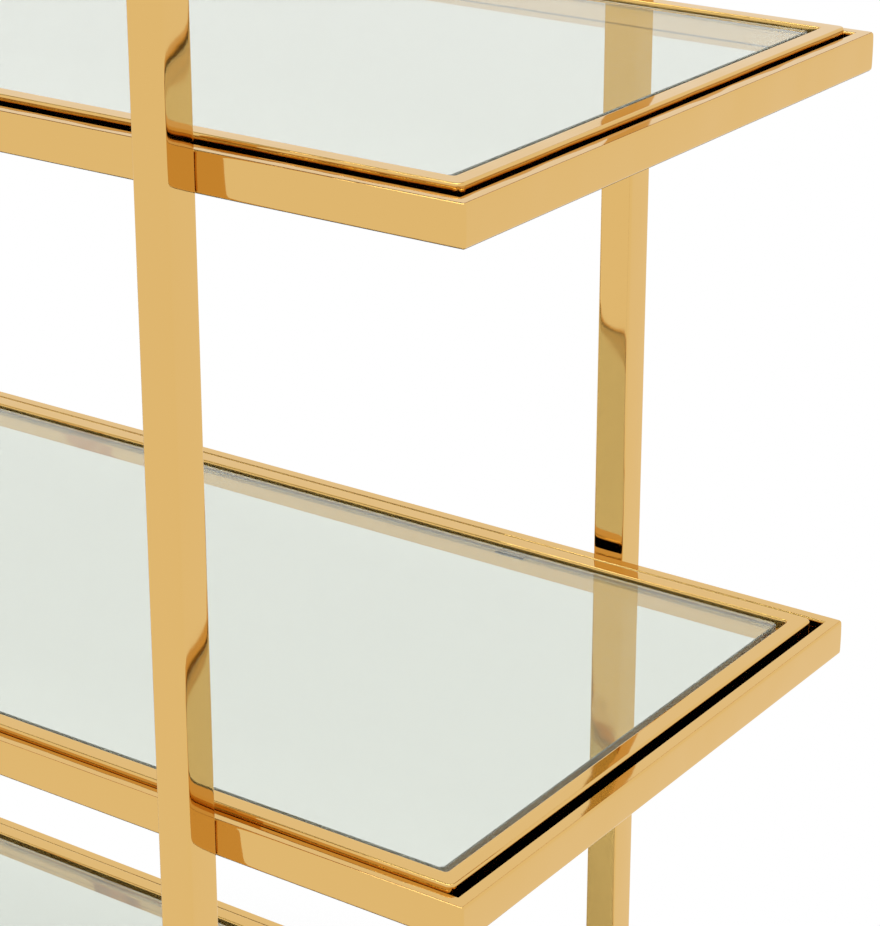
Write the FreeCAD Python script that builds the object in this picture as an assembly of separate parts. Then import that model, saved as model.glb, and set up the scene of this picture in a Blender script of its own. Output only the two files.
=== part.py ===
"""Etagere: four square posts carry six mitred shelf frames, and a framed glass tray drops into each.

Millimetres. The origin is on the floor under the middle of the shelves. X runs along the shelves,
+Y to the rear and +Z up. Every piece is written to parts/ as a STEP file of its own. Small screws,
their holes and the levelling studs are six-sided in place of round ones of the same size.
"""
import FreeCAD, Part
import os

from FreeCAD import Vector

os.makedirs("parts", exist_ok=True)

# ---- driving dimensions -------------------------------------------------------------------------
SHELF_LENGTH = 1000.0          # outside of the outer frame, along X
SHELF_DEPTH = 370.0            # outside of the outer frame, along Y
SHELF_COUNT = 6
FIRST_LEVEL = 120.0            # floor to the top of the lowest rails
SHELF_PITCH = 330.0

POST_SIZE = 20.0               # square tube
POST_WALL = 1.5
POST_EDGE = 1.2                # outside corner radius of the tube
POST_INSET = 142.0             # shelf end to the near side of a post

RAIL_WIDTH = 8.0               # rectangular tube, on edge
RAIL_HEIGHT = 20.0
RAIL_WALL = 1.2
RAIL_EDGE = 1.2

TRAY_GAP = 3.6                 # play round the drop-in tray
TRAY_BAR = 10.0                # width of its rim
TRAY_HEIGHT = 18.0
TRAY_WALL = 1.5
TRAY_RAISE = 3.5               # rim above the rails
TRAY_EDGE = 1.0                # bevel of the rim
TRAY_CORNER = 4.0              # ground outside corner, seen from above
TRAY_LIES = ((0, 0), (0, 0), (0.3, -3.3), (0.8, 1.0), (0, 0), (0, 0))  # loose trays, off the middle
LEDGE_WIDTH = 7.0              # strip welded inside the tray, under the glass
LEDGE_THICKNESS = 1.5

GLASS_THICKNESS = 5.0
GLASS_RECESS = 2.15            # glass face below the rim
GLASS_PLAY = 2.7
PANE_LIES = ((0, 0), (0, 0), (-2.4, 1.2), (-2.6, 1.2), (0, 0), (0, 0))    # loose panes, off the tray's middle
GLASS_CORNER = 2.0             # corners cut off for safe handling
PAD_THICKNESS = 0.5

REST_WIDTH = 13.0              # flat bar inside the rails, which carries the tray and closes the gap below
REST_THICKNESS = 3.0
BUMPER_SPREAD = 300.0          # middle of a long rail to either of its bumpers
BUMPER_LENGTH = 12.0           # between rest and tray
BUMPER_WIDTH = 7.0
GLASS_PAD_LENGTH = 20.0        # between ledge and glass
GLASS_PAD_WIDTH = 2.2
GLASS_PAD_INSET = 4.6

SCREW_ACROSS = 4.8             # M5
SCREW_HOLE_ACROSS = 5.6
SCREW_HEAD_ACROSS = 8.6
SCREW_HEAD_HEIGHT = 2.7
SCREW_LENGTH = 12.0
DRIVER_HOLE_ACROSS = 10.0      # lets the head and the driver through the rail's inside wall
NUT_ACROSS = 7.0               # rivet nut with a six-sided body, which can't turn in the wall
NUT_BORE_ACROSS = 4.9
NUT_LENGTH = 12.0
FIT_CLEARANCE = 0.02

CAP_THICKNESS = 2.0
FLANGE_SIZE = 18.6             # foot insert, under the tube's end
FLANGE_THICKNESS = 2.0
PLUG_DEPTH = 14.0              # foot insert, inside the tube
STUD_ACROSS = 7.4              # M8 levelling stud
STUD_HOLE_ACROSS = 8.0
STUD_LENGTH = 34.0             # from inside the glide to the stud's tip
GLIDE_ACROSS = 17.0            # moulded hexagon, turned by hand to level the foot
GLIDE_HEIGHT = 8.0
GLIDE_BEVEL = 1.5
GLIDE_SOCKET = 5.0

# ---- worked out from them -----------------------------------------------------------------------
HALF_LENGTH = SHELF_LENGTH / 2
HALF_DEPTH = SHELF_DEPTH / 2
LEVELS = [FIRST_LEVEL + SHELF_PITCH * n for n in range(SHELF_COUNT)]
SCREW_HEIGHTS = [level - RAIL_HEIGHT / 2 for level in LEVELS]
POST_X = HALF_LENGTH - POST_INSET - POST_SIZE / 2
POST_Y = HALF_DEPTH + POST_SIZE / 2
POST_BOTTOM = GLIDE_HEIGHT + FLANGE_THICKNESS
POST_TOP = LEVELS[-1]
POST_BORE = POST_SIZE - 2 * POST_WALL - 2 * FIT_CLEARANCE      # what fits inside the tube
TRAY_HALF_LENGTH = HALF_LENGTH - RAIL_WIDTH - TRAY_GAP
TRAY_HALF_DEPTH = HALF_DEPTH - RAIL_WIDTH - TRAY_GAP
OPENING_HALF_LENGTH = TRAY_HALF_LENGTH - TRAY_BAR
OPENING_HALF_DEPTH = TRAY_HALF_DEPTH - TRAY_BAR
TRAY_DROP = TRAY_HEIGHT - TRAY_RAISE          # underside of the tray, below the rail's top
REST_TOP = -(TRAY_DROP + PAD_THICKNESS)       # from the rail's top, as the next two are
GLASS_TOP = TRAY_RAISE - GLASS_RECESS
LEDGE_TOP = GLASS_TOP - GLASS_THICKNESS - PAD_THICKNESS
SIDES = (("left", -1), ("right", 1))
ENDS = (("front", -1), ("rear", 1))
POSTS = [(end + "_" + side, sx * POST_X, sy * POST_Y, sy) for end, sy in ENDS for side, sx in SIDES]
UP = Vector(0, 0, 1)


def save(name, shape):
    """Write one node."""
    shape.exportStep("parts/%s.step" % name)


def group(solids):
    """Separate solids that share one node."""
    return Part.makeCompound(solids)


def box(x_range, y_range, z_range):
    """A box between the given lowest and highest values."""
    low = Vector(x_range[0], y_range[0], z_range[0])
    return Part.makeBox(x_range[1] - low.x, y_range[1] - low.y, z_range[1] - low.z, low)


def slab(half_x, half_y, bottom, top):
    """A box centred on the Z axis."""
    return box((-half_x, half_x), (-half_y, half_y), (bottom, top))


def hexagon_bar(across, length, start, direction):
    """A six-sided bar; across is the distance between its flats."""
    turn = FreeCAD.Rotation(UP, 60)
    corners = [Vector(across / 3 ** 0.5, 0, 0)]
    for _ in range(6):
        corners.append(turn.multVec(corners[-1]))
    bar = Part.Face(Part.makePolygon(corners)).extrude(Vector(0, 0, length))
    bar.Placement = FreeCAD.Placement(start, FreeCAD.Rotation(UP, direction))
    return bar


def edges_along(solid, direction):
    """The straight edges of a solid that run along a direction."""
    return [edge for edge in solid.Edges if abs(edge.tangentAt(edge.FirstParameter).dot(direction)) > 0.99]


def edges_at(solid, height):
    """The edges of a solid that lie flat at a height."""
    return [edge for edge in solid.Edges
            if all(abs(vertex.Z - height) < FIT_CLEARANCE for vertex in edge.Vertexes)]


def tube(width, height, wall, edge, length):
    """A hollow section along +Z from the origin, rounded outside and open at both ends."""
    outside = slab(width / 2, height / 2, 0, length)
    outside = outside.makeFillet(edge, edges_along(outside, UP))
    return outside.cut(slab(width / 2 - wall, height / 2 - wall, 0, length))


# ---- posts and feet -----------------------------------------------------------------------------
def make_post(x, y, sy):
    """Square tube with a six-sided hole for a rivet nut at every shelf."""
    post = tube(POST_SIZE, POST_SIZE, POST_WALL, POST_EDGE, POST_TOP - POST_BOTTOM)
    post.translate(Vector(x, y, POST_BOTTOM))
    holes = [hexagon_bar(NUT_ACROSS, 2 * POST_WALL, Vector(x, sy * (HALF_DEPTH - POST_WALL / 2), height),
                         Vector(0, sy, 0)) for height in SCREW_HEIGHTS]
    return post.cut(group(holes))


def make_cap(x, y):
    """Plate welded into a post's upper end and ground flush."""
    cap = slab(POST_BORE / 2, POST_BORE / 2, POST_TOP - CAP_THICKNESS, POST_TOP)
    cap.translate(Vector(x, y, 0))
    return cap


def make_foot_insert(x, y):
    """Threaded plug: a flange under the tube's end and a body inside it."""
    flange = slab(FLANGE_SIZE / 2, FLANGE_SIZE / 2, GLIDE_HEIGHT, POST_BOTTOM)
    plug = slab(POST_BORE / 2, POST_BORE / 2, GLIDE_HEIGHT, POST_BOTTOM + PLUG_DEPTH)
    insert = flange.fuse(plug).removeSplitter()
    insert.translate(Vector(x, y, 0))
    return insert.cut(hexagon_bar(STUD_HOLE_ACROSS, 3 * PLUG_DEPTH, Vector(x, y, 0), UP))


def make_foot_stud(x, y):
    """Levelling stud, screwed home."""
    return hexagon_bar(STUD_ACROSS, STUD_LENGTH, Vector(x, y, GLIDE_HEIGHT - GLIDE_SOCKET), UP)


def make_foot_glide(x, y):
    """Six-sided foot with a bevelled rim and a socket for the stud."""
    glide = hexagon_bar(GLIDE_ACROSS, GLIDE_HEIGHT, Vector(x, y, 0), UP)
    glide = glide.makeChamfer(GLIDE_BEVEL, edges_at(glide, GLIDE_HEIGHT))
    socket = hexagon_bar(STUD_ACROSS, GLIDE_SOCKET, Vector(x, y, GLIDE_HEIGHT - GLIDE_SOCKET), UP)
    return glide.cut(socket)


# ---- outer frame of a shelf ---------------------------------------------------------------------
def mitred_rail(length, edge_y, level):
    """A tube along X with its outside face at edge_y, cut to 45 degrees at both ends."""
    rail = tube(RAIL_HEIGHT, RAIL_WIDTH, RAIL_WALL, RAIL_EDGE, length)
    rail.rotate(Vector(), Vector(0, 1, 0), 90)
    sign = 1 if edge_y > 0 else -1
    rail.translate(Vector(-length / 2, edge_y - sign * RAIL_WIDTH / 2, level - RAIL_HEIGHT / 2))
    reach = 2 * RAIL_WIDTH
    for sx in (-1, 1):
        corner = Vector(sx * length / 2, edge_y, level - 2 * RAIL_HEIGHT)
        waste = Part.Face(Part.makePolygon([
            corner, corner - Vector(sx * reach, sign * reach, 0),
            corner + Vector(sx * reach, -sign * reach, 0), corner])).extrude(Vector(0, 0, 3 * RAIL_HEIGHT))
        rail = rail.cut(waste)
    return rail


def make_long_rail(sy, level):
    """Front or rear tube, with a screw hole outside and a larger one inside for the driver."""
    rail = mitred_rail(SHELF_LENGTH, sy * HALF_DEPTH, level)
    inward = Vector(0, -sy, 0)
    for _, sx in SIDES:
        middle = Vector(sx * POST_X, sy * (HALF_DEPTH - RAIL_WIDTH / 2), level - RAIL_HEIGHT / 2)
        rail = rail.cut(hexagon_bar(DRIVER_HOLE_ACROSS, RAIL_WIDTH, middle, inward))
        rail = rail.cut(hexagon_bar(SCREW_HOLE_ACROSS, RAIL_WIDTH, middle, -inward))
    return rail


def make_short_rail(sx, level):
    rail = mitred_rail(SHELF_DEPTH, -sx * HALF_LENGTH, level)
    rail.rotate(Vector(), UP, 90)
    return rail


# ---- tray ---------------------------------------------------------------------------------------
def make_tray_frame(level):
    """Mitred hollow bars, welded and ground to one ring, with the ledge for the glass."""
    bottom, top = level - TRAY_DROP, level + TRAY_RAISE
    block = slab(TRAY_HALF_LENGTH, TRAY_HALF_DEPTH, bottom, top)
    block = block.makeFillet(TRAY_CORNER, edges_along(block, UP))
    ring = block.cut(slab(OPENING_HALF_LENGTH, OPENING_HALF_DEPTH, bottom, top))
    ring = ring.makeChamfer(TRAY_EDGE, edges_at(ring, top))
    return ring.cut(make_bar_hollow(bottom, top)).fuse(make_ledge(level)).removeSplitter()


def make_bar_hollow(bottom, top):
    """The space inside the tray's bars, one wall in from all their faces."""
    low, high = bottom + TRAY_WALL, top - TRAY_WALL
    outer = slab(TRAY_HALF_LENGTH - TRAY_WALL, TRAY_HALF_DEPTH - TRAY_WALL, low, high)
    return outer.cut(slab(OPENING_HALF_LENGTH + TRAY_WALL, OPENING_HALF_DEPTH + TRAY_WALL, low, high))


def make_ledge(level):
    """Flat strip round the inside of the opening."""
    top = level + LEDGE_TOP
    bottom = top - LEDGE_THICKNESS
    strip = slab(OPENING_HALF_LENGTH, OPENING_HALF_DEPTH, bottom, top)
    return strip.cut(slab(OPENING_HALF_LENGTH - LEDGE_WIDTH, OPENING_HALF_DEPTH - LEDGE_WIDTH, bottom, top))


def make_glass(level):
    """Toughened pane with its corners cut off."""
    top = level + GLASS_TOP
    pane = slab(OPENING_HALF_LENGTH - GLASS_PLAY, OPENING_HALF_DEPTH - GLASS_PLAY, top - GLASS_THICKNESS, top)
    return pane.makeChamfer(GLASS_CORNER, edges_along(pane, UP))


def at_supports(piece, half_depth):
    """Four copies, two at the front and two at the rear; the piece's own +Y points to the middle."""
    copies = []
    for _, sy in ENDS:
        for _, sx in SIDES:
            copy = piece.copy()
            copy.Placement = FreeCAD.Placement(Vector(sx * BUMPER_SPREAD, sy * half_depth, 0),
                                               FreeCAD.Rotation(UP, 90 + 90 * sy))
            copies.append(copy)
    return copies


def make_glass_pads(level):
    """Clear strips on the ledge."""
    bottom = level + LEDGE_TOP
    strip = box((-GLASS_PAD_LENGTH / 2, GLASS_PAD_LENGTH / 2),
                (GLASS_PAD_INSET, GLASS_PAD_INSET + GLASS_PAD_WIDTH), (bottom, bottom + PAD_THICKNESS))
    return at_supports(strip, OPENING_HALF_DEPTH)


# ---- what carries the tray ----------------------------------------------------------------------
def make_rests(level):
    """Four flat bars welded to the rails, inside the frame: two long ones and two between them."""
    top = level + REST_TOP
    inside_x, inside_y = HALF_LENGTH - RAIL_WIDTH, HALF_DEPTH - RAIL_WIDTH
    height = (top - REST_THICKNESS, top)
    short = inside_y - REST_WIDTH - FIT_CLEARANCE
    bars = [box((-inside_x, inside_x), sorted((sy * inside_y, sy * (inside_y - REST_WIDTH))), height)
            for _, sy in ENDS]
    return bars + [box(sorted((sx * inside_x, sx * (inside_x - REST_WIDTH))), (-short, short), height)
                   for _, sx in SIDES]


def make_bumpers(level):
    """Pads on the long rests, which the tray lies on."""
    bottom = level + REST_TOP
    start = TRAY_GAP + (TRAY_BAR - BUMPER_WIDTH) / 2
    pad = box((-BUMPER_LENGTH / 2, BUMPER_LENGTH / 2), (start, start + BUMPER_WIDTH),
              (bottom, bottom + PAD_THICKNESS))
    return at_supports(pad, HALF_DEPTH - RAIL_WIDTH)


# ---- fasteners ----------------------------------------------------------------------------------
def make_screw(x, sy, height):
    """Low-head screw, seated inside the rail on its outside wall and screwed into the post."""
    outward = Vector(0, sy, 0)
    seat = Vector(x, sy * (HALF_DEPTH - RAIL_WALL), height)
    head = hexagon_bar(SCREW_HEAD_ACROSS, SCREW_HEAD_HEIGHT, seat - outward * SCREW_HEAD_HEIGHT, outward)
    return head.fuse(hexagon_bar(SCREW_ACROSS, SCREW_LENGTH, seat, outward))


def make_rivet_nut(x, sy, height):
    """Threaded sleeve, flush with the post's face."""
    outward = Vector(0, sy, 0)
    start = Vector(x, sy * HALF_DEPTH, height)
    body = hexagon_bar(NUT_ACROSS - 2 * FIT_CLEARANCE, NUT_LENGTH, start, outward)
    return body.cut(hexagon_bar(NUT_BORE_ACROSS, NUT_LENGTH, start, outward))


# ---- nodes --------------------------------------------------------------------------------------
def save_posts():
    for place, x, y, sy in POSTS:
        save("post_" + place, make_post(x, y, sy))
        save("foot_stud_" + place, make_foot_stud(x, y))
        save("foot_glide_" + place, make_foot_glide(x, y))
    save("post_caps", group([make_cap(x, y) for _, x, y, _ in POSTS]))
    save("foot_inserts", group([make_foot_insert(x, y) for _, x, y, _ in POSTS]))


def save_shelf(number, level):
    prefix = "shelf_%d_" % number
    for end, sy in ENDS:
        save(prefix + end + "_rail", make_long_rail(sy, level))
    for side, sx in SIDES:
        save(prefix + side + "_rail", make_short_rail(sx, level))
    lie = Vector(*TRAY_LIES[number - 1], 0)
    pane_lie = lie + Vector(*PANE_LIES[number - 1], 0)
    save(prefix + "tray_frame", make_tray_frame(level).translated(lie))
    save(prefix + "glass", make_glass(level).translated(pane_lie))
    save(prefix + "glass_pads", group(make_glass_pads(level)).translated(lie))


def save_fasteners():
    joints = [(x, sy, height) for _, x, _, sy in POSTS for height in SCREW_HEIGHTS]
    save("shelf_screws", group([make_screw(*joint) for joint in joints]))
    save("rivet_nuts", group([make_rivet_nut(*joint) for joint in joints]))
    save("tray_rests", group([bar for level in LEVELS for bar in make_rests(level)]))
    save("tray_bumpers", group([pad for level in LEVELS for pad in make_bumpers(level)]))


save_posts()
for n, shelf_level in enumerate(LEVELS):
    save_shelf(n + 1, shelf_level)
save_fasteners()
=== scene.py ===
"""Etagere: the finished looks of the gilt frames, panes, feet and fasteners, laid out as an add-on.

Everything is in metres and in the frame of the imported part: +X along the shelves, +Y to the rear, +Z up.
"""
import math

import bmesh
import bpy
from mathutils import Matrix, Vector


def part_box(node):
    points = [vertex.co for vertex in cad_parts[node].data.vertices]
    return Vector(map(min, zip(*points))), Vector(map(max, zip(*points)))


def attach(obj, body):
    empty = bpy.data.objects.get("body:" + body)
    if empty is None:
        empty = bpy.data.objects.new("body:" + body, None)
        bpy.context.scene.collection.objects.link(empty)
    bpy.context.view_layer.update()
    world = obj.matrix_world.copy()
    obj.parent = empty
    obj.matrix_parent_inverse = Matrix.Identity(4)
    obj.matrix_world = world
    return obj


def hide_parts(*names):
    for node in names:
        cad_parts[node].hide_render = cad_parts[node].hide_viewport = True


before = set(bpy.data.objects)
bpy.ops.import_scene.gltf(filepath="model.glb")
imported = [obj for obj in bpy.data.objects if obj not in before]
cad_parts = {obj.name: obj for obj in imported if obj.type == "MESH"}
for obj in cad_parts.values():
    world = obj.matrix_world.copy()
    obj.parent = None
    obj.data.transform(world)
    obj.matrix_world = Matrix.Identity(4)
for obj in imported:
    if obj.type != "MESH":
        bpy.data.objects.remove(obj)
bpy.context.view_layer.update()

bl_info = {
    "name": "Gilt etagere",
    "version": (1, 0, 0),
    "blender": (4, 5, 0),
    "location": "3D View > Sidebar > Etagere",
    "description": "Dresses an etagere of gilt tube frames, drop-in trays and glass panes",
    "category": "Object",
}

MM = 0.001
SHARP_DEGREES = 50
SHELVES = range(1, 7)
RAILS = ("front", "rear", "left", "right")
WALL_STEPS = 8
CORNER_STEPS = 8
HOLLOW_CORNER = 0.2 * MM
PLACES = ("front_left", "front_right", "rear_left", "rear_right")


# ---- settings -----------------------------------------------------------------------------------
def length(name, description, millimetres):
    """A size that the user can change."""
    return bpy.props.FloatProperty(name=name, description=description, default=millimetres * MM,
                                   min=0.0, precision=5, unit="LENGTH", subtype="DISTANCE")


def colour(name, description, code):
    """A colour that the user can change, from its sRGB hex code."""
    return bpy.props.FloatVectorProperty(name=name, description=description, default=linear(code),
                                         size=4, min=0.0, max=1.0, subtype="COLOR")


def linear(code):
    """The linear RGBA colour of an sRGB hex code."""
    channels = [int(code[n:n + 2], 16) / 255 for n in (1, 3, 5)]
    return tuple(c / 12.92 if c <= 0.04045 else ((c + 0.055) / 1.055) ** 2.4 for c in channels) + (1.0,)


class EtagereSizes(bpy.types.PropertyGroup):
    """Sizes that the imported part's boxes don't give."""
    rail_width: length("Rail width", "Width of a shelf's outer tube", 8.0)
    rail_wall: length("Rail wall", "Wall of a shelf's outer tube", 1.2)
    rail_edge: length("Rail edge", "Outside corner radius of the rail's tube", 1.4)
    frame_corner: length("Frame corner", "Upright corner of a shelf's outer frame, ground after welding", 1.7)
    driver_hole: length("Driver hole", "Hole in the rail's inside wall, across", 10.0)
    screw_hole: length("Screw hole", "Hole in the rail's outside wall, across", 5.6)
    post_wall: length("Post wall", "Wall of the upright tube", 1.5)
    post_edge: length("Post edge", "Outside corner radius of the upright tube", 1.25)
    wall_bow: length("Wall bow", "Radius of the slight outward bow of the tubes' walls", 260.0)
    tray_bar: length("Tray bar", "Width of the tray's rim", 10.0)
    tray_edge: length("Tray edge", "Rounding of the rim", 1.3)
    tray_corner: length("Tray corner", "Ground outside corner of the tray", 4.0)
    tray_opening: length("Tray opening corner", "Inside corner of the rim", 2.0)
    ledge_width: length("Ledge width", "Strip under the glass", 7.0)
    ledge_thickness: length("Ledge thickness", "Strip under the glass", 1.5)
    ledge_top: length("Ledge depth", "Rim's top to the ledge", 7.65)
    pane_corner: length("Pane corner", "Corner cut off the pane", 2.0)
    pane_arris: length("Pane arris", "Polished bevel round the pane's edges", 0.5)
    pad_corner: length("Pad corner", "Corner radius of the bumpers and strips", 1.0)
    plate_edge: length("Plate edge", "Broken edge of the rests, pads and caps", 0.15)
    screw_head: length("Screw head", "Head of the shelf screw, across", 8.6)
    screw_shank: length("Screw shank", "Shank of the shelf screw, across", 4.8)
    screw_key: length("Screw key", "Hexagon socket in the screw's head, across its flats", 3.0)
    head_height: length("Head height", "Height of the screw's head", 2.7)
    thread_pitch: length("Thread pitch", "Pitch of the levelling stud", 1.25)


class EtagereColours(bpy.types.PropertyGroup):
    """Colours of the finishes."""
    gold: colour("Gold", "Gold-coloured nitride on polished stainless steel", "#DFB66E")
    glass: colour("Glass", "Tint of the clear float glass", "#ECF2E9")
    zinc: colour("Zinc", "Bright zinc plate", "#C9CCD2")
    nylon: colour("Nylon", "Black moulded nylon", "#141414")
    silicone: colour("Silicone", "Clear silicone", "#E6E9E4")
    floor: colour("Floor", "Pale studio floor", "#F2F2F0")


# ---- nodes and materials ------------------------------------------------------------------------
def add(tree, kind, inputs=None, **settings):
    """Add one node: settings are its own properties, inputs are values or sockets to link."""
    node = tree.nodes.new(kind)
    for key, value in settings.items():
        setattr(node, key, value)
    for key, value in (inputs or {}).items():
        if isinstance(value, bpy.types.NodeSocket):
            tree.links.new(value, node.inputs[key])
        else:
            node.inputs[key].default_value = value
    return node


def new_material(name):
    """An empty material and its tree, with the shader and output in place."""
    material = bpy.data.materials.new(name)
    material.use_nodes = True
    tree = material.node_tree
    tree.nodes.clear()
    shader = add(tree, "ShaderNodeBsdfPrincipled")
    add(tree, "ShaderNodeOutputMaterial", {"Surface": shader.outputs["BSDF"]})
    return material, tree, shader


def gilt_steel():
    """Stainless tube, ground, buffed to a mirror and coated with gold-coloured titanium nitride.

    The buffed walls aren't quite flat, so long reflections bend slowly along a tube. The wheel leaves
    hairlines that only soften a reflection, and wiping leaves faint smears of higher roughness. The
    waves are drawn deeper, and the hairlines coarser, than on a real tube.
    """
    smear_size, wave_size, line_size = 45 * MM, 60 * MM, 2.5 * MM
    wave_depth, line_depth = 1.6 * MM, 0.0012 * MM
    name = "Gilt mirror-polished stainless steel"
    if name in bpy.data.materials:
        return bpy.data.materials[name]
    material, tree, shader = new_material(name)
    colours = bpy.context.scene.etagere_colours
    shader.inputs["Base Color"].default_value = colours.gold
    shader.inputs["Metallic"].default_value = 1.0
    place = add(tree, "ShaderNodeTexCoord").outputs["Object"]
    smears = add(tree, "ShaderNodeTexNoise", {"Vector": place, "Scale": 1 / smear_size, "Detail": 4.0,
                                              "Roughness": 0.6})
    softness = add(tree, "ShaderNodeMapRange", {"Value": smears.outputs["Fac"], "From Min": 0.35,
                                                "From Max": 0.75, "To Min": 0.035, "To Max": 0.075})
    tree.links.new(softness.outputs["Result"], shader.inputs["Roughness"])
    waves = add(tree, "ShaderNodeTexNoise", {"Vector": place, "Scale": 1 / wave_size, "Detail": 1.5,
                                             "Roughness": 0.5})
    bend = add(tree, "ShaderNodeBump", {"Height": waves.outputs["Fac"], "Strength": 1.0,
                                        "Distance": wave_depth})
    lines = add(tree, "ShaderNodeTexNoise", {"Vector": place, "Scale": 1 / line_size, "Detail": 2.0})
    hair = add(tree, "ShaderNodeBump", {"Height": lines.outputs["Fac"], "Strength": 1.0,
                                        "Distance": line_depth, "Normal": bend.outputs["Normal"]})
    tree.links.new(hair.outputs["Normal"], shader.inputs["Normal"])
    return material


def clear_glass():
    """Clear toughened float glass: pale grey-green, with the slow wave that the rollers leave.

    A light haze, which clean glass lacks, keeps the pane grey against a white background.
    """
    wave_size, wave_depth = 180 * MM, 0.05 * MM
    name = "Clear float glass"
    if name in bpy.data.materials:
        return bpy.data.materials[name]
    material, tree, shader = new_material(name)
    for key, value in {"Base Color": bpy.context.scene.etagere_colours.glass, "Roughness": 0.0,
                       "IOR": 1.52, "Transmission Weight": 0.84}.items():
        shader.inputs[key].default_value = value
    place = add(tree, "ShaderNodeTexCoord").outputs["Object"]
    roller = add(tree, "ShaderNodeTexNoise", {"Vector": place, "Scale": 1 / wave_size, "Detail": 0.0})
    wave = add(tree, "ShaderNodeBump", {"Height": roller.outputs["Fac"], "Strength": 1.0,
                                        "Distance": wave_depth})
    tree.links.new(wave.outputs["Normal"], shader.inputs["Normal"])
    return material


def zinc_plate():
    """Bright zinc over turned steel: silver with a cloudy sheen."""
    cloud_size, darkest = 3 * MM, 0.8
    name = "Bright zinc-plated steel"
    if name in bpy.data.materials:
        return bpy.data.materials[name]
    material, tree, shader = new_material(name)
    shader.inputs["Metallic"].default_value = 1.0
    place = add(tree, "ShaderNodeTexCoord").outputs["Object"]
    clouds = add(tree, "ShaderNodeTexNoise", {"Vector": place, "Scale": 1 / cloud_size, "Detail": 3.0})
    zinc = bpy.context.scene.etagere_colours.zinc
    tint = add(tree, "ShaderNodeValToRGB", {"Fac": clouds.outputs["Fac"]})
    tint.color_ramp.elements[0].color = [darkest * c for c in zinc[:3]] + [1.0]
    tint.color_ramp.elements[1].color = zinc
    tree.links.new(tint.outputs["Color"], shader.inputs["Base Color"])
    softness = add(tree, "ShaderNodeMapRange", {"Value": clouds.outputs["Fac"], "To Min": 0.22,
                                                "To Max": 0.4})
    tree.links.new(softness.outputs["Result"], shader.inputs["Roughness"])
    return material


def black_nylon():
    """Glass-filled nylon from a spark-eroded mould: near black with an even grain.

    The grain is drawn coarser than the real one, which is too fine to show.
    """
    grain_size, pit_depth, palest = 0.6 * MM, 0.04 * MM, 1.9
    name = "Black moulded nylon"
    if name in bpy.data.materials:
        return bpy.data.materials[name]
    material, tree, shader = new_material(name)
    shader.inputs["IOR"].default_value = 1.53
    place = add(tree, "ShaderNodeTexCoord").outputs["Object"]
    grain = add(tree, "ShaderNodeTexVoronoi", {"Vector": place, "Scale": 1 / grain_size})
    nylon = bpy.context.scene.etagere_colours.nylon
    tint = add(tree, "ShaderNodeMix", {"Factor": grain.outputs["Distance"], "A": nylon,
                                       "B": [palest * c for c in nylon[:3]] + [1.0]}, data_type="RGBA")
    tree.links.new(tint.outputs["Result"], shader.inputs["Base Color"])
    softness = add(tree, "ShaderNodeMapRange", {"Value": grain.outputs["Distance"], "To Min": 0.42,
                                                "To Max": 0.6})
    tree.links.new(softness.outputs["Result"], shader.inputs["Roughness"])
    pits = add(tree, "ShaderNodeBump", {"Height": grain.outputs["Distance"], "Strength": 0.6,
                                        "Distance": pit_depth})
    tree.links.new(pits.outputs["Normal"], shader.inputs["Normal"])
    return material


def clear_silicone():
    """Cast clear silicone: cloudy, soft and slightly tacky, with dust bloom."""
    bloom_size = 4 * MM
    name = "Clear cast silicone"
    if name in bpy.data.materials:
        return bpy.data.materials[name]
    material, tree, shader = new_material(name)
    for key, value in {"Base Color": bpy.context.scene.etagere_colours.silicone, "IOR": 1.41,
                       "Transmission Weight": 0.8}.items():
        shader.inputs[key].default_value = value
    place = add(tree, "ShaderNodeTexCoord").outputs["Object"]
    bloom = add(tree, "ShaderNodeTexNoise", {"Vector": place, "Scale": 1 / bloom_size, "Detail": 3.0})
    softness = add(tree, "ShaderNodeMapRange", {"Value": bloom.outputs["Fac"], "To Min": 0.25,
                                                "To Max": 0.5})
    tree.links.new(softness.outputs["Result"], shader.inputs["Roughness"])
    return material


# ---- meshes -------------------------------------------------------------------------------------
def box(*nodes):
    """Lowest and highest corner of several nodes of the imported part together."""
    corners = [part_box(node) for node in nodes]
    return (Vector(map(min, *[low for low, _ in corners])),
            Vector(map(max, *[high for _, high in corners])))


def rounded(corners, steps, bow=0.0):
    """A closed outline through right-angled corners, given as (x, y, radius).

    With a bow, every side is an arc of that radius whose middle lies on the line between its corners.
    """
    points = []
    for n, (x, y, radius) in enumerate(corners):
        corner = Vector((x, y))
        to_last = Vector(corners[n - 1][:2]) - corner
        to_next = Vector(corners[(n + 1) % len(corners)][:2]) - corner
        back, ahead = to_last.normalized(), to_next.normalized()
        back_drop = to_last.length ** 2 / (8 * bow) if bow else 0.0
        ahead_drop = to_next.length ** 2 / (8 * bow) if bow else 0.0
        tight = corner + back * ahead_drop + ahead * back_drop
        for k in range(steps + 1):
            turn = math.pi / 2 * k / steps
            points.append(tight + radius * (back + ahead - ahead * math.cos(turn) - back * math.sin(turn)))
        if bow:
            for k in range(1, WALL_STEPS):
                along = k / WALL_STEPS
                points.append(corner + to_next * along + back * ahead_drop * (2 * along - 1) ** 2)
    return points


def loop_round(low, high, depth, radius, steps, bow):
    """Points of a rounded rectangle, a given depth inside a box's sides, anticlockwise from above."""
    x0, y0, x1, y1 = low.x + depth, low.y + depth, high.x - depth, high.y - depth
    return rounded([(x0, y0, radius), (x1, y0, radius), (x1, y1, radius), (x0, y1, radius)], steps, bow)


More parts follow.
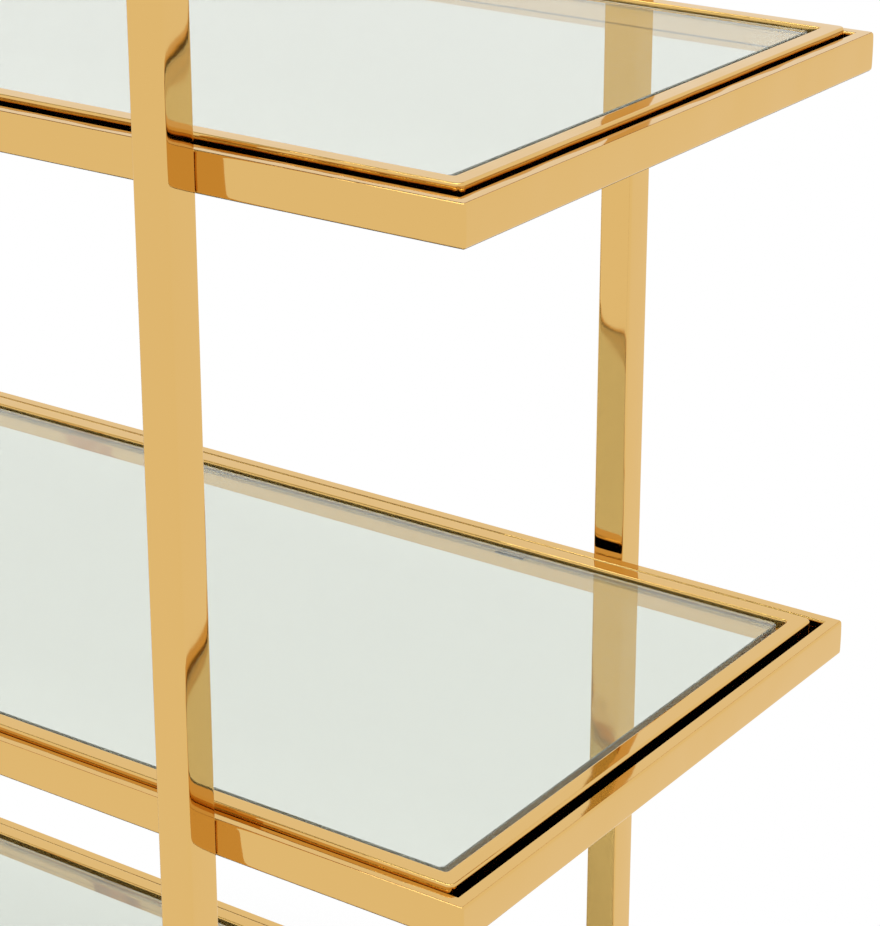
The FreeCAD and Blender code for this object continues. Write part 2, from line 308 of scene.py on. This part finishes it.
def sweep_ring(mesh, low, high, profile, corner, opening, steps, bow=0.0, inwards=False):
    """A closed band round a box: profile runs up the outside, over the top and down the inside.

    Each point of the profile is (depth, height). Its loop has the outer corner's radius less its depth,
    and never less than the opening's. The bow is that of the loops' own sides.
    """
    loops = []
    for depth, height in profile:
        radius = max(corner - depth, opening)
        outline = loop_round(low, high, depth, radius, steps, bow)
        loops.append([mesh.verts.new((p.x, p.y, height)) for p in outline])
    for this, above in zip(loops, loops[1:] + loops[:1]):
        for n in range(len(this)):
            m = (n + 1) % len(this)
            face = (this[n], this[m], above[m], above[n])
            mesh.faces.new(reversed(face) if inwards else face)


def plate(mesh, low, high, corners, arris):
    """A plate with a bevel of the arris's size round its upper and lower edges."""
    def loop(depth, height):
        return [mesh.verts.new((x, y, height)) for x, y in corners(depth)]
    loops = [loop(arris, low.z), loop(0.0, low.z + arris), loop(0.0, high.z - arris), loop(arris, high.z)]
    for this, above in zip(loops, loops[1:]):
        for n in range(len(this)):
            m = (n + 1) % len(this)
            mesh.faces.new((this[n], this[m], above[m], above[n]))
    mesh.faces.new(reversed(loops[0]))
    mesh.faces.new(loops[-1])


def new_object(name, mesh, material):
    """An object at the origin from a finished bmesh."""
    data = bpy.data.meshes.new(name)
    mesh.to_mesh(data)
    mesh.free()
    data.materials.append(material)
    piece = bpy.data.objects.new(name, data)
    bpy.context.scene.collection.objects.link(piece)
    return piece


def bake(piece):
    """Replace a piece's mesh by the one its modifiers give, and take them off."""
    bpy.context.view_layer.update()
    solid = piece.evaluated_get(bpy.context.evaluated_depsgraph_get())
    mesh = bpy.data.meshes.new_from_object(solid)
    piece.modifiers.clear()
    piece.data = mesh
    mesh.name = piece.name
    return piece


def shade(piece, sharp_degrees):
    """Shade rounded edges smooth and keep the flats between them flat."""
    for face in piece.data.polygons:
        face.use_smooth = True
    piece.data.set_sharp_from_angle(angle=math.radians(sharp_degrees))
    weigh = piece.modifiers.new("Flat faces first", "WEIGHTED_NORMAL")
    weigh.weight = 100
    weigh.keep_sharp = True
    return bake(piece)


def mount(piece, body, slot, *nodes):
    """Hand a finished piece to the frame: hang it on the body it rides on and hide the nodes it stands for.
    The slot is not used.
    """
    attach(piece, body)
    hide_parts(*nodes)
    return piece


# ---- geometry nodes -----------------------------------------------------------------------------
def new_tree(name, sizes):
    """A geometry tree with a mesh input, a material and named sizes; returns it and its group input."""
    tree = bpy.data.node_groups.new(name, "GeometryNodeTree")
    tree.interface.new_socket("Geometry", in_out="INPUT", socket_type="NodeSocketGeometry")
    tree.interface.new_socket("Geometry", in_out="OUTPUT", socket_type="NodeSocketGeometry")
    tree.interface.new_socket("Material", in_out="INPUT", socket_type="NodeSocketMaterial")
    for size in sizes:
        tree.interface.new_socket(size, in_out="INPUT", socket_type="NodeSocketFloat")
    return tree, add(tree, "NodeGroupInput")


def end_tree(tree, given, instances):
    """Realize the instances, set the material and end the tree."""
    real = add(tree, "GeometryNodeRealizeInstances", {"Geometry": instances})
    painted = add(tree, "GeometryNodeSetMaterial", {"Geometry": real.outputs["Geometry"],
                                                   "Material": given.outputs["Material"]})
    add(tree, "NodeGroupOutput", {"Geometry": painted.outputs["Geometry"]})


def place_instances(tree, given, shape):
    """Put a shape on every input point, turned by the point's own angles."""
    turn = add(tree, "GeometryNodeInputNamedAttribute", {"Name": "turn"}, data_type="FLOAT_VECTOR")
    return add(tree, "GeometryNodeInstanceOnPoints", {
        "Points": given.outputs["Geometry"], "Instance": shape,
        "Rotation": turn.outputs["Attribute"]}).outputs["Instances"]


def plates_tree():
    """Flat plates with rounded corners and broken edges, one on each point."""
    name = "Rounded plates"
    if name in bpy.data.node_groups:
        return bpy.data.node_groups[name]
    tree, given = new_tree(name, ("Length", "Width", "Thickness", "Corner", "Edge"))
    size = given.outputs
    twice = add(tree, "ShaderNodeMath", {0: size["Edge"], 1: 2.0}, operation="MULTIPLY").outputs[0]
    inner_length = add(tree, "ShaderNodeMath", {0: size["Length"], 1: twice}, operation="SUBTRACT").outputs[0]
    inner_width = add(tree, "ShaderNodeMath", {0: size["Width"], 1: twice}, operation="SUBTRACT").outputs[0]
    low_edge = size["Edge"]
    high_edge = add(tree, "ShaderNodeMath", {0: size["Thickness"], 1: low_edge},
                    operation="SUBTRACT").outputs[0]
    layers = []
    for across, along, height in ((inner_width, inner_length, 0.0), (size["Width"], size["Length"], low_edge),
                                  (size["Width"], size["Length"], high_edge),
                                  (inner_width, inner_length, size["Thickness"])):
        outline = add(tree, "GeometryNodeCurvePrimitiveQuadrilateral", {"Width": along, "Height": across})
        round_off = add(tree, "GeometryNodeFilletCurve", {"Curve": outline.outputs["Curve"], "Count": 4,
                                                         "Radius": size["Corner"]}, mode="POLY")
        lift = add(tree, "ShaderNodeCombineXYZ", {"Z": height})
        layers.append(add(tree, "GeometryNodeTransform", {"Geometry": round_off.outputs["Curve"],
                                                         "Translation": lift.outputs["Vector"]}))
    stack = add(tree, "GeometryNodeJoinGeometry")
    for layer in layers:
        tree.links.new(layer.outputs["Geometry"], stack.inputs["Geometry"])
    points = add(tree, "GeometryNodeCurveToMesh", {"Curve": stack.outputs["Geometry"]})
    hull = add(tree, "GeometryNodeConvexHull", {"Geometry": points.outputs["Mesh"]})
    end_tree(tree, given, place_instances(tree, given, hull.outputs["Convex Hull"]))
    return tree


def screws_tree():
    """Low-head socket screws, one on each point: head on the point's +Z side, shank on its other."""
    name = "Socket screws"
    if name in bpy.data.node_groups:
        return bpy.data.node_groups[name]
    tree, given = new_tree(name, ("Head radius", "Head height", "Shank radius", "Shank length", "Key radius"))
    size = given.outputs
    head = add(tree, "GeometryNodeMeshCylinder", {"Vertices": 28, "Radius": size["Head radius"],
                                                 "Depth": size["Head height"]})
    half = add(tree, "ShaderNodeMath", {0: size["Head height"], 1: 0.5}, operation="MULTIPLY").outputs[0]
    lift = add(tree, "ShaderNodeCombineXYZ", {"Z": half})
    head_up = add(tree, "GeometryNodeTransform", {"Geometry": head.outputs["Mesh"],
                                                 "Translation": lift.outputs["Vector"]})
    key = add(tree, "GeometryNodeMeshCylinder", {"Vertices": 6, "Radius": size["Key radius"],
                                                "Depth": size["Head height"]})
    top = add(tree, "ShaderNodeCombineXYZ", {"Z": size["Head height"]})
    key_up = add(tree, "GeometryNodeTransform", {"Geometry": key.outputs["Mesh"],
                                                "Translation": top.outputs["Vector"]})
    socketed = add(tree, "GeometryNodeMeshBoolean", {"Mesh 1": head_up.outputs["Geometry"],
                                                    "Mesh 2": key_up.outputs["Geometry"]},
                   operation="DIFFERENCE")
    shank = add(tree, "GeometryNodeMeshCylinder", {"Vertices": 16, "Radius": size["Shank radius"],
                                                  "Depth": size["Shank length"]})
    drop = add(tree, "ShaderNodeMath", {0: size["Shank length"], 1: -0.5}, operation="MULTIPLY").outputs[0]
    down = add(tree, "ShaderNodeCombineXYZ", {"Z": drop})
    shank_down = add(tree, "GeometryNodeTransform", {"Geometry": shank.outputs["Mesh"],
                                                    "Translation": down.outputs["Vector"]})
    screw = add(tree, "GeometryNodeJoinGeometry", {"Geometry": socketed.outputs["Mesh"]})
    tree.links.new(shank_down.outputs["Geometry"], screw.inputs["Geometry"])
    end_tree(tree, given, place_instances(tree, given, screw.outputs["Geometry"]))
    return tree


def stud_tree():
    """Threaded studs standing on their points: a core with a helical ridge."""
    name = "Threaded studs"
    if name in bpy.data.node_groups:
        return bpy.data.node_groups[name]
    tree, given = new_tree(name, ("Length", "Radius", "Pitch", "Depth"))
    size = given.outputs
    root = add(tree, "ShaderNodeMath", {0: size["Radius"], 1: size["Depth"]}, operation="SUBTRACT").outputs[0]
    core = add(tree, "GeometryNodeMeshCylinder", {"Vertices": 20, "Radius": root, "Depth": size["Length"]})
    half = add(tree, "ShaderNodeMath", {0: size["Length"], 1: 0.5}, operation="MULTIPLY").outputs[0]
    lift = add(tree, "ShaderNodeCombineXYZ", {"Z": half})
    core_up = add(tree, "GeometryNodeTransform", {"Geometry": core.outputs["Mesh"],
                                                 "Translation": lift.outputs["Vector"]})
    run = add(tree, "ShaderNodeMath", {0: size["Length"], 1: size["Pitch"]}, operation="SUBTRACT").outputs[0]
    turns = add(tree, "ShaderNodeMath", {0: run, 1: size["Pitch"]}, operation="DIVIDE").outputs[0]
    helix = add(tree, "GeometryNodeCurveSpiral", {"Resolution": 16, "Rotations": turns, "Start Radius": root,
                                                 "End Radius": root, "Height": run})
    ridge = add(tree, "GeometryNodeCurvePrimitiveCircle", {"Resolution": 3, "Radius": size["Depth"]})
    thread = add(tree, "GeometryNodeCurveToMesh", {"Curve": helix.outputs["Curve"],
                                                  "Profile Curve": ridge.outputs["Curve"], "Fill Caps": True})
    start = add(tree, "ShaderNodeMath", {0: size["Pitch"], 1: 0.5}, operation="MULTIPLY").outputs[0]
    up = add(tree, "ShaderNodeCombineXYZ", {"Z": start})
    thread_up = add(tree, "GeometryNodeTransform", {"Geometry": thread.outputs["Mesh"],
                                                   "Translation": up.outputs["Vector"]})
    stud = add(tree, "GeometryNodeJoinGeometry", {"Geometry": core_up.outputs["Geometry"]})
    tree.links.new(thread_up.outputs["Geometry"], stud.inputs["Geometry"])
    end_tree(tree, given, place_instances(tree, given, stud.outputs["Geometry"]))
    return tree


def from_tree(name, tree, material, sizes, points):
    """Run a tree on points, given as (place, turn), and bake the result to one mesh."""
    mesh = bpy.data.meshes.new(name)
    mesh.from_pydata([place for place, _ in points], [], [])
    turns = mesh.attributes.new("turn", "FLOAT_VECTOR", "POINT")
    turns.data.foreach_set("vector", [angle for _, turn in points for angle in turn])
    piece = bpy.data.objects.new(name, mesh)
    bpy.context.scene.collection.objects.link(piece)
    modifier = piece.modifiers.new(name, "NODES")
    modifier.node_group = tree
    sizes = dict(sizes, Material=material)
    for socket in tree.interface.items_tree:
        if socket.in_out == "INPUT" and socket.name in sizes:
            modifier[socket.identifier] = sizes[socket.name]
    return bake(piece)


# ---- operators ----------------------------------------------------------------------------------
class EtagerePiece:
    """What every operator of the etagere shares."""
    bl_options = {"REGISTER", "UNDO"}

    def execute(self, context):
        self.make(context.scene.etagere_sizes)
        return {"FINISHED"}


class ETAGERE_OT_shelf_frames(EtagerePiece, bpy.types.Operator):
    """Outer frame of every shelf: mitred tube, welded, ground and polished to one ring"""
    bl_idname = "etagere.shelf_frames"
    bl_label = "Shelf frames"

    def make(self, sizes):
        for number in SHELVES:
            nodes = ["shelf_%d_%s_rail" % (number, side) for side in RAILS]
            low, high = box(*nodes)
            width, wall, edge = sizes.rail_width, sizes.rail_wall, sizes.rail_edge
            least_corner = 0.4 * MM
            mesh = bmesh.new()
            outside = [(0, low.z, edge), (0, high.z, edge), (width, high.z, edge), (width, low.z, edge)]
            section = rounded(outside, steps=6, bow=sizes.wall_bow)
            sweep_ring(mesh, low, high, section, sizes.frame_corner, least_corner, CORNER_STEPS)
            inside = [(wall, low.z + wall, HOLLOW_CORNER), (wall, high.z - wall, HOLLOW_CORNER),
                      (width - wall, high.z - wall, HOLLOW_CORNER),
                      (width - wall, low.z + wall, HOLLOW_CORNER)]
            hollow = rounded(inside, steps=2)
            sweep_ring(mesh, low, high, hollow, sizes.frame_corner, least_corner, CORNER_STEPS, inwards=True)
            ring = new_object("shelf_%d_outer_frame" % number, mesh, gilt_steel())
            cutter = self.make_cutter(sizes, low, high)
            cut = ring.modifiers.new("Holes", "BOOLEAN")
            cut.object = cutter
            cut.operation = "DIFFERENCE"
            cut.solver = "EXACT"
            bake(ring)
            bpy.data.objects.remove(cutter)
            mount(shade(ring, SHARP_DEGREES), "frame", "gold_steel", *nodes)

    def make_cutter(self, sizes, low, high):
        """Plugs in the shape of the driver's and the screw's holes."""
        mesh = bmesh.new()
        middle = (low.z + high.z) / 2
        for place in PLACES:
            post_low, post_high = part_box("post_" + place)
            x = (post_low.x + post_high.x) / 2
            sy = 1 if "rear" in place else -1
            outer = high.y if sy > 0 else low.y
            for across, y in ((sizes.driver_hole, outer - sy * sizes.rail_width),
                              (sizes.screw_hole, outer)):
                spot = Matrix.Translation((x, y, middle)) @ Matrix.Rotation(math.pi / 2, 4, "X")
                bmesh.ops.create_cone(mesh, cap_ends=True, segments=32, radius1=across / 2,
                                      radius2=across / 2, depth=4 * sizes.rail_wall, matrix=spot)
        return new_object("hole_plugs", mesh, gilt_steel())


class ETAGERE_OT_posts(EtagerePiece, bpy.types.Operator):
    """Four square tubes with rounded edges, and the caps in their upper ends"""
    bl_idname = "etagere.posts"
    bl_label = "Posts and caps"

    def make(self, sizes):
        outer_end, inner_end = 0.25 * MM, 0.15 * MM
        cap_places = []
        for place in PLACES:
            node = "post_" + place
            low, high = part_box(node)
            mesh = bmesh.new()
            profile = rounded([(0, low.z, outer_end), (0, high.z, outer_end),
                               (sizes.post_wall, high.z, inner_end), (sizes.post_wall, low.z, inner_end)],
                              steps=3)
            sweep_ring(mesh, low, high, profile, sizes.post_edge, HOLLOW_CORNER, steps=6, bow=sizes.wall_bow)
            post = new_object("post_tube_" + place, mesh, gilt_steel())
            mount(shade(post, SHARP_DEGREES), "frame", "gold_steel", node)
            cap_places.append(((low + high) / 2).xy)
        low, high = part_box("post_caps")
        play, corner = 0.04 * MM, 0.4 * MM
        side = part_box("post_front_right")[1].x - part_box("post_front_right")[0].x - 2 * sizes.post_wall
        caps = from_tree("post_cap_plates", plates_tree(), gilt_steel(),
                         {"Length": side - play, "Width": side - play, "Thickness": high.z - low.z,
                          "Corner": corner, "Edge": sizes.plate_edge},
                         [((p.x, p.y, low.z), (0, 0, 0)) for p in cap_places])
        mount(caps, "frame", "gold_steel", "post_caps")


class ETAGERE_OT_trays(EtagerePiece, bpy.types.Operator):
    """Drop-in trays: a rim with rounded edges and ground corners, and the ledge for the glass"""
    bl_idname = "etagere.trays"
    bl_label = "Trays"

    def make(self, sizes):
        for number in SHELVES:
            node = "shelf_%d_tray_frame" % number
            low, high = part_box(node)
            bar, edge, small = sizes.tray_bar, sizes.tray_edge, 0.3 * MM
            ledge_top = high.z - sizes.ledge_top
            ledge_bottom = ledge_top - sizes.ledge_thickness
            ledge_end = bar + sizes.ledge_width
            corners = [(0, low.z, small), (0, high.z, edge), (bar, high.z, edge), (bar, ledge_top, small),
                       (ledge_end, ledge_top, small), (ledge_end, ledge_bottom, small),
                       (bar, ledge_bottom, small), (bar, low.z, small)]
            mesh = bmesh.new()
            section = rounded(corners, steps=5)
            sweep_ring(mesh, low, high, section, sizes.tray_corner, sizes.tray_opening, CORNER_STEPS)
            tray = new_object("shelf_%d_tray" % number, mesh, gilt_steel())
            mount(shade(tray, SHARP_DEGREES), "tray_%d" % number, "gold_steel", node)


class ETAGERE_OT_panes(EtagerePiece, bpy.types.Operator):
    """Glass panes with cut corners and polished arrises"""
    bl_idname = "etagere.panes"
    bl_label = "Panes"

    def make(self, sizes):
        for number in SHELVES:
            node = "shelf_%d_glass" % number
            low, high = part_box(node)
            cut, arris = sizes.pane_corner, sizes.pane_arris

            def corners(depth):
                """Eight corners, the same distance inside every side of the outline."""
                x0, y0, x1, y1 = low.x + depth, low.y + depth, high.x - depth, high.y - depth
                c = cut - depth * (2 - math.sqrt(2))
                return [(x0 + c, y0), (x1 - c, y0), (x1, y0 + c), (x1, y1 - c),
                        (x1 - c, y1), (x0 + c, y1), (x0, y1 - c), (x0, y0 + c)]
            mesh = bmesh.new()
            plate(mesh, low, high, corners, arris)
            pane = new_object("shelf_%d_pane" % number, mesh, clear_glass())
            mount(pane, "pane_%d" % number, "clear_glass", node)


class ETAGERE_OT_supports(EtagerePiece, bpy.types.Operator):
    """Rests that carry the trays, with their bumpers, and the strips under the panes"""
    bl_idname = "etagere.supports"
    bl_label = "Rests, bumpers and strips"

    def make(self, sizes):
        mesh = bmesh.new()
        for low, high in self.islands("tray_rests"):
            def corners(depth):
                """The bar's four corners, moved in."""
                x0, y0, x1, y1 = low.x + depth, low.y + depth, high.x - depth, high.y - depth
                return [(x0, y0), (x1, y0), (x1, y1), (x0, y1)]
            plate(mesh, low, high, corners, sizes.plate_edge)
        mount(new_object("tray_rest_bars", mesh, gilt_steel()), "frame", "gold_steel", "tray_rests")
        self.make_pads(sizes, "tray_bumpers", "tray_bumper_pads", "frame")
        for number in SHELVES:
            self.make_pads(sizes, "shelf_%d_glass_pads" % number, "shelf_%d_glass_strips" % number,
                           "tray_%d" % number)

    def make_pads(self, sizes, node, name, body):
        """Clear pads, all of one size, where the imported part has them."""
        boxes = self.islands(node)
        size = boxes[0][1] - boxes[0][0]
        edge = 0.1 * MM
        spots = [(((low.x + high.x) / 2, (low.y + high.y) / 2, low.z), (0.0, 0.0, 0.0))
                 for low, high in boxes]
        pads = from_tree(name, plates_tree(), clear_silicone(),
                         {"Length": size.x, "Width": size.y, "Thickness": size.z,
                          "Corner": sizes.pad_corner, "Edge": edge}, spots)
        mount(pads, body, "clear_silicone", node)

    def islands(self, node):
        """Lowest and highest corners of a node's separate boxes."""
        mesh = bmesh.new()
        mesh.from_mesh(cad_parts[node].data)
        same_place = 0.01 * MM
        bmesh.ops.remove_doubles(mesh, verts=mesh.verts, dist=same_place)
        left, boxes = set(mesh.verts), []
        while left:
            island, waiting = set(), [left.pop()]
            while waiting:
                vertex = waiting.pop()
                island.add(vertex)
                for near in (e.other_vert(vertex) for e in vertex.link_edges):
                    if near in left:
                        left.discard(near)
                        waiting.append(near)
            boxes.append((Vector([min(v.co[k] for v in island) for k in range(3)]),
                          Vector([max(v.co[k] for v in island) for k in range(3)])))
        mesh.free()
        return sorted(boxes, key=tuple)


class ETAGERE_OT_fasteners(EtagerePiece, bpy.types.Operator):
    """Screws that hold the shelf frames to the posts, and the rivet nuts behind them"""
    bl_idname = "etagere.fasteners"
    bl_label = "Screws and rivet nuts"

    def make(self, sizes):
        points = []
        for place in PLACES:
            low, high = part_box("post_" + place)
            x = (low.x + high.x) / 2
            sy = 1 if "rear" in place else -1
            face = low.y if sy > 0 else high.y
            for number in SHELVES:
                rail_low, rail_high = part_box("shelf_%d_front_rail" % number)
                seat = (x, face - sy * sizes.rail_wall, (rail_low.z + rail_high.z) / 2)
                points.append((seat, (sy * math.pi / 2, 0.0, 0.0)))
        low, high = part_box("shelf_screws")
        reach = (high.y - low.y) / 2 - abs(points[0][0][1])
        screws = from_tree("socket_screws", screws_tree(), zinc_plate(),
                           {"Head radius": sizes.screw_head / 2, "Head height": sizes.head_height,
                            "Shank radius": sizes.screw_shank / 2, "Shank length": reach,
                            "Key radius": sizes.screw_key / math.sqrt(3)}, points)
        mount(shade(screws, sharp_degrees=40), "frame", "zinc_steel", "shelf_screws")
        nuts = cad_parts["rivet_nuts"]
        nuts.data.materials.clear()
        nuts.data.materials.append(zinc_plate())


class ETAGERE_OT_feet(EtagerePiece, bpy.types.Operator):
    """Levelling feet: threaded stud, moulded hexagonal glide and the plug in the post's end"""
    bl_idname = "etagere.feet"
    bl_label = "Feet"

    def make(self, sizes):
        stud_radius, thread_depth = 3.68 * MM, 0.5 * MM
        for place in PLACES:
            body = "foot_" + place
            low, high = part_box("foot_stud_" + place)
            middle = (low + high) / 2
            stud = from_tree("levelling_stud_" + place, stud_tree(), zinc_plate(),
                             {"Length": high.z - low.z, "Radius": stud_radius,
                              "Pitch": sizes.thread_pitch, "Depth": thread_depth},
                             [((middle.x, middle.y, low.z), (0.0, 0.0, 0.0))])
            mount(shade(stud, sharp_degrees=35), body, "zinc_steel", "foot_stud_" + place)
            mount(self.make_glide(place), body, "black_nylon", "foot_glide_" + place)
        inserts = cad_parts["foot_inserts"]
        inserts.data.materials.clear()
        inserts.data.materials.append(black_nylon())

    def make_glide(self, place):
        """Six-sided glide with rounded corners, a tapered top and a recessed sole.

        A row is a share of the full reach and a height in millimetres. A corner is three points, each
        with its turn off the corner in radians and its own share of the reach.
        """
        low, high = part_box("foot_glide_" + place)
        middle = (low + high) / 2
        across = (high.y - low.y) / 2
        corner = across / math.cos(math.pi / 6)
        mesh = bmesh.new()
        rows = ((0.80, 0.9), (0.93, 0.0), (0.98, 0.5), (1.0, 1.4), (1.0, 5.6), (0.97, 6.6), (0.90, 7.5),
                (0.80, 8.0), (0.44, 8.0))
        points = ((-0.09, 0.985), (0.0, 0.975), (0.09, 0.985))
        loops = []
        for scale, height in rows:
            z = low.z + min(height * MM, high.z - low.z)
            loop = []
            for side in range(6):
                for turn, share in points:
                    angle = math.radians(60 * side) + turn
                    reach = corner * scale * share
                    loop.append(mesh.verts.new((middle.x + reach * math.cos(angle),
                                                middle.y + reach * math.sin(angle), z)))
            loops.append(loop)
        for this, above in zip(loops, loops[1:]):
            for n in range(len(this)):
                m = (n + 1) % len(this)
                mesh.faces.new((this[n], this[m], above[m], above[n]))
        mesh.faces.new(reversed(loops[0]))
        mesh.faces.new(loops[-1])
        return shade(new_object("glide_" + place, mesh, black_nylon()), sharp_degrees=35)


class ETAGERE_OT_stage(EtagerePiece, bpy.types.Operator):
    """Pale floor, white world, overhead softbox and the camera"""
    bl_idname = "etagere.stage"
    bl_label = "Stage"

    def make(self, sizes):
        scene = bpy.context.scene
        scene.view_settings.view_transform = "Standard"
        self.make_floor()
        self.make_world(scene)
        self.make_lamp()
        self.make_camera(scene)

    def make_floor(self):
        """A pale disc that holds the shadow and fades into the white world, further out at the sides."""
        radius, fade_from, fade_to, side_squeeze = 2.2, 0.4, 0.88, 0.68
        mesh = bmesh.new()
        bmesh.ops.create_circle(mesh, cap_ends=True, segments=96, radius=radius)
        material, tree, shader = new_material("Pale studio floor")
        shader.inputs["Base Color"].default_value = bpy.context.scene.etagere_colours.floor
        shader.inputs["Roughness"].default_value = 0.9
        place = add(tree, "ShaderNodeTexCoord").outputs["Object"]
        squeezed = add(tree, "ShaderNodeMapping", {"Vector": place, "Scale": (side_squeeze, 1.0, 1.0)})
        away = add(tree, "ShaderNodeVectorMath", {0: squeezed.outputs["Vector"]}, operation="LENGTH")
        fade = add(tree, "ShaderNodeMapRange", {"Value": away.outputs["Value"], "From Min": fade_from,
                                                "From Max": fade_to}, interpolation_type="SMOOTHSTEP")
        clear = add(tree, "ShaderNodeBsdfTransparent")
        both = add(tree, "ShaderNodeMixShader", {0: fade.outputs["Result"], 1: shader.outputs["BSDF"],
                                                2: clear.outputs["BSDF"]})
        output = next(n for n in tree.nodes if n.type == "OUTPUT_MATERIAL")
        tree.links.new(both.outputs["Shader"], output.inputs["Surface"])
        floor = new_object("floor", mesh, material)

    def make_world(self, scene):
        """White for the camera, in metal and through glass, and a plain soft light on all else."""
        white_colour, soft_light, full_white = (1.0, 1.0, 1.0, 1.0), 0.7, 1.0
        world = bpy.data.worlds.new("Soft studio")
        scene.world = world
        world.use_nodes = True
        tree = world.node_tree
        tree.nodes.clear()
        plain = add(tree, "ShaderNodeBackground", {"Color": white_colour, "Strength": soft_light})
        white = add(tree, "ShaderNodeBackground", {"Color": white_colour, "Strength": full_white})
        ray = add(tree, "ShaderNodeLightPath").outputs
        mirrored = add(tree, "ShaderNodeMath", {0: ray["Is Camera Ray"], 1: ray["Is Glossy Ray"]},
                       operation="MAXIMUM")
        seen = add(tree, "ShaderNodeMath", {0: mirrored.outputs["Value"], 1: ray["Is Transmission Ray"]},
                   operation="MAXIMUM")
        both = add(tree, "ShaderNodeMixShader", {0: seen.outputs["Value"], 1: plain.outputs["Background"],
                                                2: white.outputs["Background"]})
        add(tree, "ShaderNodeOutputWorld", {"Surface": both.outputs["Shader"]})

    def make_lamp(self):
        """One large softbox overhead."""
        data = bpy.data.lights.new("Softbox", "AREA")
        data.shape = "RECTANGLE"
        data.size = 2.0
        data.size_y = 1.6
        data.energy = 42.0
        lamp = bpy.data.objects.new("Softbox", data)
        lamp.location = (-0.2, 0.0, 3.4)
        bpy.context.scene.collection.objects.link(lamp)

    def make_camera(self, scene):
        """Above and to the right of the front, close on the fourth and third shelves.

        The frame's height, the focal length and the optical axis's way from the top edge are in pixels.
        """
        frame_height, focal_length, axis_from_top = 926, 2822.685, 380
        down, aside = 20.336, 34.876
        data = bpy.data.cameras.new("Camera")
        data.sensor_width = 36.0
        data.lens = data.sensor_width * focal_length / frame_height
        data.shift_y = (axis_from_top - frame_height / 2) / frame_height
        data.clip_start = 0.05
        data.clip_end = 50.0
        camera = bpy.data.objects.new("Camera", data)
        camera.location = (1.12421, -1.09812, 1.44334)
        camera.rotation_euler = (math.radians(90 - down), 0.0, math.radians(aside))
        scene.collection.objects.link(camera)
        scene.camera = camera


PIECES = (ETAGERE_OT_shelf_frames, ETAGERE_OT_posts, ETAGERE_OT_trays, ETAGERE_OT_panes, ETAGERE_OT_supports,
          ETAGERE_OT_fasteners, ETAGERE_OT_feet, ETAGERE_OT_stage)


class ETAGERE_PT_panel(bpy.types.Panel):
    """Sizes, colours and the buttons that make each piece"""
    bl_idname = "ETAGERE_PT_panel"
    bl_label = "Etagere"
    bl_space_type = "VIEW_3D"
    bl_region_type = "UI"
    bl_category = "Etagere"

    def draw(self, context):
        for group in (context.scene.etagere_sizes, context.scene.etagere_colours):
            for name in group.__annotations__:
                self.layout.prop(group, name)
        for piece in PIECES:
            self.layout.operator(piece.bl_idname)


CLASSES = (EtagereSizes, EtagereColours) + PIECES + (ETAGERE_PT_panel,)


def register():
    for cls in CLASSES:
        bpy.utils.register_class(cls)
    bpy.types.Scene.etagere_sizes = bpy.props.PointerProperty(type=EtagereSizes)
    bpy.types.Scene.etagere_colours = bpy.props.PointerProperty(type=EtagereColours)


def unregister():
    del bpy.types.Scene.etagere_colours
    del bpy.types.Scene.etagere_sizes
    for cls in reversed(CLASSES):
        bpy.utils.unregister_class(cls)


def main():
    """Make every piece in order."""
    register()
    for piece in PIECES:
        group, name = piece.bl_idname.split(".")
        getattr(getattr(bpy.ops, group), name)()


if __name__ == "__main__":
    main()
